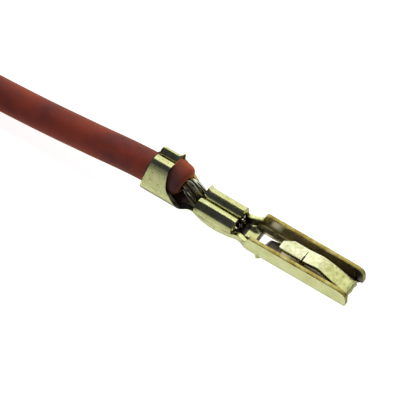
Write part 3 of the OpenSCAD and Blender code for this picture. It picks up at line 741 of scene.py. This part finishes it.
# Thickness and rounded edges
EDGE_ROUND, EDGE_SEGMENTS, EDGE_ANGLE = 0.04, 3, 50
terminal = new_object("terminal", sheet.mesh("terminal_sheet"))
for material in FINISHES:
    terminal.data.materials.append(material)
solid = terminal.modifiers.new("thickness", "SOLIDIFY")
solid.thickness = SHEET_T * MM
solid.offset = -1
solid.use_even_offset = True
solid.thickness_clamp = 0
solid.material_offset = DULL
solid.material_offset_rim = BARE
bevel = terminal.modifiers.new("deburr", "BEVEL")
bevel.width = EDGE_ROUND * MM
bevel.segments = EDGE_SEGMENTS
bevel.material = BARE
bevel.limit_method = "ANGLE"
bevel.angle_limit = math.radians(EDGE_ANGLE)
graph = bpy.context.evaluated_depsgraph_get()
body = bpy.data.meshes.new_from_object(terminal.evaluated_get(graph))
terminal.modifiers.clear()
terminal.data = body

# Faces get another finish by their place: the neck's rims are plated, the window's edges dull, and the rims
# of the lobes and of the cradle's front get painted shade
NECK_RIM_END, RIM_Z, FLOOR_HALF, WINDOW_LIP, LOBE_LIP = 0.17, 0.3, 0.5, 0.1, 0.06
FAR_LOBE_Y, FAR_LOBE_Z = 0.4, 0.8
CRADLE_RIM, CRADLE_RIM_Y = (X_WINGS - 0.2, X_CRIMP - 0.1), 0.3
# The neck's floor gets painted shadow round a plated patch, and cradle, window and the walls' front get
# painted shade, while the far wall gets a greyer painted shade
NECK_PATCH, NECK_PATCH_HALF = (-0.1, 0.4), 0.34
CRADLE_Z, FRONT_DARK, GREY_SHADE_FROM = 1, 0.5, 2.0
# The tongue is worn, with painted shade in its crease that is wider on its near side, and the far wing's
# rear rim is bare
TONGUE_FROM, TONGUE_Z, TONGUE_EDGE = 1.8, 0.35, TONGUE_HALF + 0.01
NEAR_CREASE, FAR_CREASE, CREASE_STEP_Y, CREASE_Y, CREASE_REACH = 0.05, 0.02, -0.09, -0.1, 0.3
WING_REAR, WING_REAR_Z = 0.2, 1.2


def edge_finish(x, y, z):
    """Finish of a cut edge."""
    if X_NECK < x < NECK_RIM_END and z > RIM_Z:
        return PLATED
    if WINDOW_REAR - WINDOW_LIP < x < WINDOW_FRONT and abs(y) < FLOOR_HALF and z < RIM_Z:
        return DULL
    # Painted shade on the lobes' front rims and on the cradle's near rim
    if abs(x - X_NECK) < LOBE_LIP and z > RIM_Z and not (y > FAR_LOBE_Y and z > FAR_LOBE_Z):
        return PAINTED_SHADE
    if CRADLE_RIM[0] < x < CRADLE_RIM[1] and y < CRADLE_RIM_Y:
        return PAINTED_SHADE
    return BARE


def inside_finish(x, y, z):
    """Finish of a face inside the folds."""
    # Painted shadow of the strands' brush on the neck's floor, and painted shade in the cradle, on the lance
    # and at the walls' front
    if X_NECK < x < WINDOW_REAR and abs(y) < FLOOR_HALF:
        in_patch = NECK_PATCH[0] < x < NECK_PATCH[1] and abs(y) < NECK_PATCH_HALF
        return PLATED if in_patch else PAINTED_SHADE
    if X_WINGS < x < X_CRIMP and z < CRADLE_Z:
        return PAINTED_SHADE
    if WINDOW_REAR < x < WINDOW_FRONT and abs(y) < WINDOW_HALF and z < SHEET_T:
        return PAINTED_SHADE
    if x > X_FRONT - FRONT_DARK and abs(y) > TONGUE_HALF:
        return PAINTED_SHADE
    # Painted shade on the far wall's inside, towards the front
    if x > GREY_SHADE_FROM and y > TONGUE_HALF:
        return GREY_SHADE
    return DULL


def outside_finish(x, y, z):
    """Finish of a face on the sheet's outside, which is the upper side of the tongue."""
    crease_half = NEAR_CREASE if y < CREASE_STEP_Y else FAR_CREASE
    # Painted shade in the crease
    if abs(x - CREASE[0]) < crease_half and abs(y - CREASE_Y) < CREASE_REACH and z > TONGUE_Z:
        return PAINTED_SHADE
    if x > TONGUE_FROM and abs(y) < TONGUE_EDGE and z > TONGUE_Z:
        return WORN
    if x < X_REAR + WING_REAR and y > 0 and z > WING_REAR_Z:
        return BARE
    return PLATED


FINISH_OF = {PLATED: outside_finish, BARE: edge_finish, DULL: inside_finish}
for face in body.polygons:
    x, y, z = face.center.x / MM, face.center.y / MM, face.center.z / MM - Z_FLOOR
    face.material_index = FINISH_OF[face.material_index](x, y, z)
shade(body)
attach(terminal, "root")
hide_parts("crimp_terminal")


# Round bars along lines; from here on heights count from the resting surface

def frames_along(points):
    """Point, direction and two sides at each point of a line, turned as little as possible."""
    pts = [Vector(p) for p in points]
    tangents = []
    for k in range(len(pts)):
        tangents.append((pts[min(k + 1, len(pts) - 1)] - pts[max(k - 1, 0)]).normalized())
    side = tangents[0].cross(UP).normalized()
    out = []
    for p, t in zip(pts, tangents):
        side = (side - t * side.dot(t)).normalized()
        out.append((p, t, side, t.cross(side)))
    return out


def circle(middle, a, b, r, sides):
    """Points round a middle, in the plane of two directions."""
    turns = [2 * math.pi * j / sides for j in range(sides)]
    return [middle + (a * math.cos(w) + b * math.sin(w)) * r for w in turns]


def bar_rings(points, radii, sides):
    return [circle(p, a, b, r, sides) for (p, _, a, b), r in zip(frames_along(points), radii)]


def blunt(radius, count, share):
    """Radii of a bar of count rings whose last one is smaller."""
    return [radius] * (count - 1) + [radius * share]


def lofted(name, rings, capped=True):
    """Object with a skin over rings of points."""
    verts = [tuple(Vector(v) * MM) for ring in rings for v in ring]
    n = len(rings[0])
    faces = []
    for i in range(len(rings) - 1):
        for k in range(n):
            a, b = i * n + k, i * n + (k + 1) % n
            faces.append((a, b, b + n, a + n))
    if capped:
        faces.append(tuple(range(n - 1, -1, -1)))
        faces.append(tuple(range((len(rings) - 1) * n, len(rings) * n)))
    me = bpy.data.meshes.new(name)
    me.from_pydata(verts, [], faces)
    bm = bmesh.new()
    bm.from_mesh(me)
    bmesh.ops.recalc_face_normals(bm, faces=bm.faces)
    bm.to_mesh(me)
    bm.free()
    shade(me)
    return new_object(name, me)


def joined(name, objects):
    """One object in place of several, with doubled points welded."""
    bm = bmesh.new()
    for ob in objects:
        bm.from_mesh(ob.data)
        bpy.data.objects.remove(ob)
    bmesh.ops.remove_doubles(bm, verts=bm.verts, dist=WELD * MM)
    bmesh.ops.recalc_face_normals(bm, faces=bm.faces)
    me = bpy.data.meshes.new(name)
    bm.to_mesh(me)
    bm.free()
    shade(me)
    return new_object(name, me)


def curve_through(points, per):
    """Smooth curve through points, with as many steps between each two."""
    pts = [Vector(p) for p in points]
    out = []
    for i in range(len(pts) - 1):
        p0, p1, p2, p3 = pts[max(i - 1, 0)], pts[i], pts[i + 1], pts[min(i + 2, len(pts) - 1)]
        for k in range(per):
            u = k / per
            out.append(0.5 * (2 * p1 + (p2 - p0) * u + (2 * p0 - 5 * p1 + 4 * p2 - p3) * u * u
                              + (3 * p1 - p0 - 3 * p2 + p3) * u ** 3))
    return out + [pts[-1]]


# Jacket in the crimp: round, squeezed by the wings, pushed up and out in front of them, cut a little aslant
JACKET_SIDES, JACKET_RISE = 72, 0.24
JACKET_X = places(-5.85, (-5.0, 21), (-4.96, 1), (-4.2, 29), (-4.18, 1), (X_JACKET, 17))
# Fatter inside the wings; slopes are (start, run)
SWELL, SWELL_RISE, SWELL_FALL = 0.03, (-6.0, 0.3), (X_WINGS + 0.2, 0.4)
# Bulge in front of the wings, at an angle in degrees from +Y towards +Z
BULGE, BULGE_ANGLE, BULGE_POWER, BULGE_RISE = 0.36, 40, 1.5, (X_WINGS - 0.2, 0.24)
# Groove under the far wing's tip, at such an angle and with a width in degrees
GROOVE, GROOVE_ANGLE, GROOVE_WIDTH = 0.26, 58, 16
GROOVE_RISE, GROOVE_FALL = (-5.72, 0.12), (X_WINGS - 0.2, 0.2)
END_ROUND, BORE_R, BORE_LIP, BORE_DEPTH = 0.34, 0.4, 0.02, 0.4
SLANT, SLANT_RUN, SLANT_FAR, SLANT_UP = 0.2, 0.7, 0.6, 0.8


def rise(x):
    """How far the jacket's middle is pushed up."""
    return JACKET_RISE * ease(x, X_WINGS, X_JACKET - X_WINGS)


def jacket_radius(x, w):
    """w is the angle from +Y towards +Z."""
    r = WIRE_R + SWELL * ease(x, *SWELL_RISE) * (1 - ease(x, *SWELL_FALL))
    push = max(math.cos(w - math.radians(BULGE_ANGLE)), 0) ** BULGE_POWER
    r += push * max(BULGE - BULGE * (x - X_WINGS), 0) * ease(x, *BULGE_RISE)
    held = ease(x, *GROOVE_RISE) * (1 - ease(x, *GROOVE_FALL))
    r -= GROOVE * held * math.exp(-((math.degrees(w) - GROOVE_ANGLE) / GROOVE_WIDTH) ** 2)
    end = max(x - (X_JACKET - END_ROUND), 0) / END_ROUND
    return r - END_ROUND * (1 - math.sqrt(max(1 - end * end, 0)))


def slant(x, r, w):
    """The end is cut aslant: its far upper side reaches further forward than its near lower one."""
    way = SLANT_FAR * math.cos(w) + SLANT_UP * math.sin(w)
    return SLANT * ease(x, X_JACKET - SLANT_RUN, SLANT_RUN) * r / WIRE_R * way


def jacket_ring(x, bore=None):
    """Ring of the jacket's outside at a station, or of its bore where a radius is given."""
    ring = []
    for j in range(JACKET_SIDES):
        w = 2 * math.pi * j / JACKET_SIDES
        r = bore or jacket_radius(x, w)
        ring.append((x + slant(x, r, w), r * math.cos(w), Z_FLOOR + Z_WIRE + rise(x) + r * math.sin(w)))
    return ring


rings = [jacket_ring(x) for x in JACKET_X]
rings.append(jacket_ring(X_JACKET, BORE_R + BORE_LIP / 2))
rings += [jacket_ring(X_JACKET - depth, BORE_R) for depth in (BORE_LIP, BORE_DEPTH)]
jacket = lofted("jacket", rings)
jacket.data.materials.append(SHADED_RED)
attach(jacket, "root")
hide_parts("jacket_end")

# Strands: in the wire's round lay, then down into the crimp's rows and out as a short brush
STRAND_SIDES = 16
# Places across and up, in pitches of the lay and of the crimp's rows, and how far each strand sticks out
LAY = [(-0.5, -1), (0.5, -1), (-1, 0), (1, 0), (-0.5, 1), (0.5, 1), (0, 0)]
ROWS = [(-1, 0), (1, 0), (-1.5, 1), (1.5, 1), (-0.5, 1), (0.5, 1), (0, 0)]
BRUSH = [0.06, 0.12, 0.02, 0.03, 0.1, 0.05, 0.12]
LAY_PITCH, LAY_STEP, ROW_PITCH, ROW_Z, ROW_STEP = 0.26, 0.866, 0.28, 0.36, 0.245
STRAND_X = places(-4.2, (X_CRIMP + 0.3, 33), (X_CRIMP + 0.4, 1), (X_NECK, 11))
# The strands have settled into their rows this far inside the crimp; on the way there they fan out, wave
# and lie a little to the far side
SETTLED, FAN, WAVE, WAVE_TURN, WAVE_PITCH, WAVE_UP, FAR_SHIFT = 0.15, 0.45, 0.02, 3.1, 4, 0.6, 0.06
BRUSH_STEPS, BRUSH_SPREAD, BRUSH_LIFT, BRUSH_TURN, BRUSH_BLUNT = 6, 0.04, 0.02, 2.3, 0.82


def strand_line(i):
    """Points that strand i follows."""
    (lay_y, lay_z), (row_y, row_z) = LAY[i], ROWS[i]
    pts = []
    for x in STRAND_X:
        u = (x - X_JACKET) / (X_CRIMP + SETTLED - X_JACKET)
        v = ease(u)
        between = math.sin(math.pi * min(max(u, 0), 1))
        fan = 1 + FAN * between * (1 - v)
        y = (lay_y * LAY_PITCH * (1 - v) + row_y * ROW_PITCH * v) * fan
        dz = (lay_z * LAY_PITCH * LAY_STEP * (1 - v) + row_z * ROW_STEP * v) * fan
        z = Z_FLOOR + (Z_WIRE + rise(x)) * (1 - v) + ROW_Z * v + dz
        wave = WAVE * math.sin(WAVE_TURN * i + WAVE_PITCH * x) * between
        pts.append((x, y + wave + FAR_SHIFT * (1 - v), z + WAVE_UP * wave))
    x, y, z = pts[-1]
    for k in range(1, BRUSH_STEPS + 1):
        u = k / BRUSH_STEPS
        lift = BRUSH_LIFT * math.sin(BRUSH_TURN * i) * u
        pts.append((x + BRUSH[i] * u, y * (1 + BRUSH_SPREAD * u), z + lift))
    return pts


for i in range(len(LAY)):
    pts = strand_line(i)
    radii = blunt(STRAND_R, len(pts), BRUSH_BLUNT)
    strand = lofted(f"strand_wire_{i + 1}", bar_rings(pts, radii, STRAND_SIDES))
    strand.data.materials.append(TIN)
    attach(strand, "root")
    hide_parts(f"strand_{i + 1}")

# Wire: from the crimp down to the surface and into a flat coil held by a tie
ROUTE = [
    (-5.8, 0, 1.69), (-6.1, 0, 1.68), (-6.6, 0, 1.63), (-7.2, 0, 1.55), (-8, -0.01, 1.43), (-9, -0.03, 1.28),
    (-10, -0.05, 1.15), (-11, -0.08, 1.04), (-12, -0.11, 0.95), (-13, -0.14, 0.88), (-14, -0.17, 0.83),
    (-15, -0.21, 0.81), (-16, -0.25, 0.8), (-17, -0.28, 0.8), (-18, -0.31, 0.8), (-19, -0.32, 0.8),
    (-20, -0.32, 0.8),
]
ROUTE_STEPS, WIRE_SIDES, LEAD_IN_X = 4, 28, (-20.4, -20.8, -21.2)
COIL_R, COIL_PITCH, COIL_TURNS, COIL_START, COIL_STEPS = 10.2, 1.65, 2.45, 90, 96
COIL_X, LEAD_Y = -21.5, ROUTE[-1][1]
COIL_Y = LEAD_Y - COIL_R
# The turns rise over the tie's band, along a slope (start, run) in degrees from the tie
TIE_ANGLE, TIE_T, TIE_FIT, TIE_LIFT, TIE_SLOPE = 215, 0.25, 0.03, 0.02, (10, 25)
# Chamfer of the wire's cut end, and the bore that its strands lie in
END_CHAMFER, CORE_R, CORE_LIP, CORE_DEPTH = 0.05, 0.41, 0.02, 0.5


def coil_radius(turn):
    """Radius of the coil after a turn in degrees."""
    return COIL_R - COIL_PITCH * turn / 360


points = curve_through(ROUTE, ROUTE_STEPS)
points += [Vector((x, LEAD_Y, WIRE_R)) for x in LEAD_IN_X]
steps = int(COIL_TURNS * COIL_STEPS)
for k in range(steps + 1):
    turn = COIL_TURNS * 360 * k / steps
    a = math.radians(COIL_START + turn)
    r = coil_radius(turn)
    from_tie = abs((COIL_START + turn - TIE_ANGLE + 180) % 360 - 180)
    lift = (TIE_T + TIE_LIFT) * (1 - ease(from_tie, *TIE_SLOPE))
    points.append(Vector((COIL_X + r * math.cos(a), COIL_Y + r * math.sin(a), WIRE_R + lift)))
length = sum((b - a).length for a, b in zip(points, points[1:]))
rings = bar_rings(points, [WIRE_R] * len(points), WIRE_SIDES)[:-1]
end, heading, end_a, end_b = frames_along(points)[-1]
for r, back in ((WIRE_R, END_CHAMFER), (WIRE_R - END_CHAMFER, 0), (CORE_R + CORE_LIP, 0),
                (CORE_R, CORE_LIP), (CORE_R, CORE_DEPTH)):
    rings.append(circle(end - heading * back, end_a, end_b, r, WIRE_SIDES))
wire = lofted("wire", rings)
wire.data.materials.append(CLEAN_RED)
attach(wire, "root")
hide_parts("lead_wire", "wire_coil")

# Cut strands in the wire's far end
CUT_PLACES, CUT_BLUNT, CUT_SIDES = (-0.6, -0.3, 0.02, 0.04), 0.85, 14
cut_radii = blunt(STRAND_R, len(CUT_PLACES), CUT_BLUNT)
cut_bars = []
for k, (across, up) in enumerate(LAY):
    base = end + (end_a * across + end_b * up * LAY_STEP) * LAY_PITCH
    bar = [base + heading * d for d in CUT_PLACES]
    cut_bars.append(lofted(f"cut_{k}", bar_rings(bar, cut_radii, CUT_SIDES)))
cut_strands = joined("cut_strands", cut_bars)
cut_strands.data.materials.append(TIN)
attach(cut_strands, "root")

# Tie: a flat band round the turns with both ends twisted together inside the coil
TIE_TURN, TIE_PASSES = TIE_ANGLE - COIL_START, 2
TIE_FILLET, CORNER_STEPS = WIRE_R - TIE_FIT, 8
BAND_HALF, BAND_ROUND, RIB_TOP, RIB_FOOT, RIB_T = 1.0, 0.06, 0.22, 0.28, 0.08
TAIL_LEN, TAIL_STEPS, TAIL_TWIST, TAIL_START = 3.2, 48, 540, 90
TAIL_HALF, TAIL_ROUND_W, TAIL_ROUND_T = 0.6, 0.04, 0.05
# Half of the band's section, as points (outwards, sideways): inside, edge, outside and the rib of its core
BAND_SIDE = [
    (0, BAND_HALF - BAND_ROUND), (BAND_ROUND, BAND_HALF), (TIE_T - BAND_ROUND, BAND_HALF),
    (TIE_T, BAND_HALF - BAND_ROUND), (TIE_T, RIB_FOOT), (TIE_T + RIB_T, RIB_TOP),
]
BAND_SECTION = BAND_SIDE + [(out, -side) for out, side in BAND_SIDE[::-1]]
# Section of the twisted ends, as points (across, over)
tail_w, tail_t = TAIL_HALF - TAIL_ROUND_W, TIE_T - TAIL_ROUND_T
TAIL_SECTION = [
    (-tail_w, -TIE_T), (tail_w, -TIE_T), (TAIL_HALF, -tail_t), (TAIL_HALF, tail_t),
    (tail_w, TIE_T), (-tail_w, TIE_T), (-TAIL_HALF, tail_t), (-TAIL_HALF, -tail_t),
]
hub = Vector((COIL_X, COIL_Y, 0))
radial = Vector((math.cos(math.radians(TIE_ANGLE)), math.sin(math.radians(TIE_ANGLE)), 0))
tangent = Vector((-radial.y, radial.x, 0))
r_in = coil_radius(TIE_TURN + 360 * TIE_PASSES) - WIRE_R - TIE_FIT
r_out = coil_radius(TIE_TURN) + WIRE_R + TIE_FIT
z_low, z_high = TIE_T, TIE_T + 2 * (WIRE_R + TIE_FIT)
corners = (
    (r_out - TIE_FILLET, z_low + TIE_FILLET, -90), (r_out - TIE_FILLET, z_high - TIE_FILLET, 0),
    (r_in + TIE_FILLET, z_high - TIE_FILLET, 90), (r_in + TIE_FILLET, z_low + TIE_FILLET, 180),
)
rings = []
for corner_r, corner_z, start in corners:
    for k in range(CORNER_STEPS + 1):
        w = math.radians(start + 90 * k / CORNER_STEPS)
        section = []
        for out, side in BAND_SECTION:
            from_corner = TIE_FILLET + out
            z = max(corner_z + math.sin(w) * from_corner, 0.0)
            place = hub + radial * (corner_r + math.cos(w) * from_corner)
            section.append(place + tangent * side + UP * z)
        rings.append(section)
rings.append(rings[0])
band = lofted("band", rings, capped=False)
rings = []
for k in range(TAIL_STEPS + 1):
    u = k / TAIL_STEPS
    w = math.radians(TAIL_TWIST * u + TAIL_START)
    place = hub + radial * (r_in - TIE_T / 2 - TAIL_LEN * u) + UP * ((z_low + z_high) / 2)
    across = tangent * math.cos(w) + UP * math.sin(w)
    over = UP * math.cos(w) - tangent * math.sin(w)
    rings.append([place + across * p + over * q for p, q in TAIL_SECTION])
tail = lofted("tail", rings)
tie = joined("tie", (band, tail))
tie.data.materials.append(TIE_PLASTIC)
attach(tie, "root")
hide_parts("coil_tie")

# Stage: pale floor, soft surround, camera at the photo's angle
FLOOR_SIZE = 3000
bpy.ops.mesh.primitive_plane_add(size=FLOOR_SIZE * MM)
floor = bpy.context.object
floor.name = "floor"
floor.data.materials.append(pale_floor())
floor.visible_glossy = False
floor.visible_diffuse = False

# Brightness of the surround by the angle round X, in degrees from straight up towards -Y
AROUND = [
    (-180, 0.2), (-152, 0.5), (-125, 0.4), (-95, 0.85), (-60, 0.8), (-40, 0.86), (-25, 1.04), (-17, 0.03),
    (35, 0.03), (47, 0.1), (62, 0.44), (105, 0.5), (152, 0.64), (168, 0.46), (180, 0.2),
]
# The same for directions ahead of the terminal; the two blend as X goes through AHEAD_X
AHEAD = [
    (-180, 0.2), (-150, 0.5), (-125, 0.4), (-80, 0.12), (-66, 0.3), (-55, 0.95), (-42, 0.95), (-34, 0.3),
    (-17, 0.03), (180, 0.03),
]
AHEAD_X = (0.42, 0.62)
# Strength by the direction's X
ACROSS = [(-0.6, 1.28), (0.5, 0.88), (1.0, 0.7)]
BLUE_SHARE, LEAST_BLUE = 0.99, 0.05


def light_stops(stops, low, high):
    """Stops for a ramp from (place, brightness), nearly white and faintly blue where it is dark."""
    return [((at - low) / (high - low), (v, v, max(v * BLUE_SHARE, LEAST_BLUE))) for at, v in stops]


world = bpy.data.worlds.new("studio")
scene.world = world
world.use_nodes = True
world.node_tree.nodes.clear()
sky = Nodes(world.node_tree, "Generated")
way = sky.add("SeparateXYZ", {0: sky.coord}).outputs
minus_y = sky.add("Math", {0: way["Y"]}, {1: -1}, operation="MULTIPLY").outputs[0]
angle = sky.add("Math", {0: minus_y, 1: way["Z"]}, operation="ARCTAN2").outputs[0]
turn = sky.spread(angle, (-math.pi, math.pi))
around = sky.ramp(turn, light_stops(AROUND, -180, 180), "EASE")
ahead = sky.ramp(turn, light_stops(AHEAD, -180, 180), "EASE")
colour = sky.mix(sky.spread(way["X"], AHEAD_X), around, ahead)
strength = sky.ramp(sky.spread(way["X"], (-1, 1)), light_stops(ACROSS, -1, 1))
background = sky.add("Background", {"Color": colour, "Strength": strength})
sky.add("OutputWorld", {"Surface": background.outputs[0]})

# The photo's view: 19.42 mm wide, turned 34.5 degrees and seen from 57.7 degrees above
VIEW_WIDTH, VIEW_TARGET, VIEW_DISTANCE = 19.42, (-2.93, -0.115, 1.5), 500
AZIMUTH, ELEVATION = math.radians(34.5), math.radians(57.7)
SENSOR, CLIP_START, CLIP_END = 36, 50, 20000
level = math.cos(ELEVATION)
view = Vector((math.sin(AZIMUTH) * level, -math.cos(AZIMUTH) * level, math.sin(ELEVATION)))
camera = new_object("camera", bpy.data.cameras.new("camera"))
camera.location = Vector(VIEW_TARGET) * MM + view * (VIEW_DISTANCE * MM)
camera.rotation_euler = view.to_track_quat("Z", "Y").to_euler()
camera.data.sensor_width = SENSOR
camera.data.lens = SENSOR * VIEW_DISTANCE / VIEW_WIDTH
camera.data.clip_start = CLIP_START * MM
camera.data.clip_end = CLIP_END * MM
scene.camera = camera
scene.view_settings.view_transform = "Standard"
